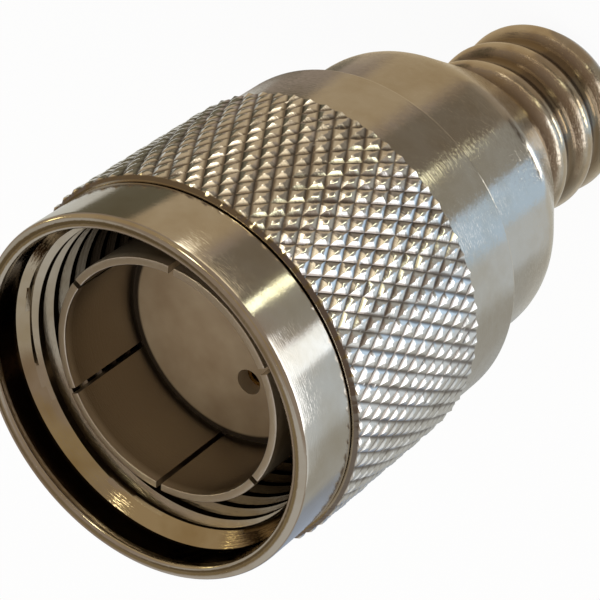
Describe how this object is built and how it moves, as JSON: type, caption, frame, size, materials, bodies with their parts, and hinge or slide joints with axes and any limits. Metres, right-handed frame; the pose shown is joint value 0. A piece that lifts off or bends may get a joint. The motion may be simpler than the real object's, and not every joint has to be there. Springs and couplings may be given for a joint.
{
  "type": "twinax connector",
  "caption": "Twin-axial cable plug: a knurled screw-on coupling nut turns around a slotted contact ring and insulator with recessed sockets; a ridged neck behind takes the cable.",
  "frame": {"origin": "centre of the neck's end face, on the surface that the plug stands on", "axes": "+Z along the plug's axis towards the mating end; +X from the axis to socket contact a"},
  "size_m": [0.0182, 0.0182, 0.0349],
  "materials": {
    "body_nickel": "nickel plated brass, turned and brushed",
    "nut_nickel": "nickel plated brass, turned and knurled",
    "sleeve_nickel": "nickel plated brass, satin",
    "insulator": "moulded, matt tan",
    "contact_gilt": "gilt brass, turned"
  },
  "bodies": {
    "plug": {"rear_body": "body_nickel", "outer_contact_sleeve": "sleeve_nickel", "front_insulator": "insulator", "rear_insulator": "insulator", "socket_contact_a": "contact_gilt", "socket_contact_b": "contact_gilt"},
    "nut": {"coupling_nut": "nut_nickel"}
  },
  "joints": [
    {"name": "nut_spin", "type": "hinge", "parent": "plug", "child": "nut", "pos_m": [0, 0, 0.01902], "axis": [0, 0, 1], "continuous": true}
  ]
}
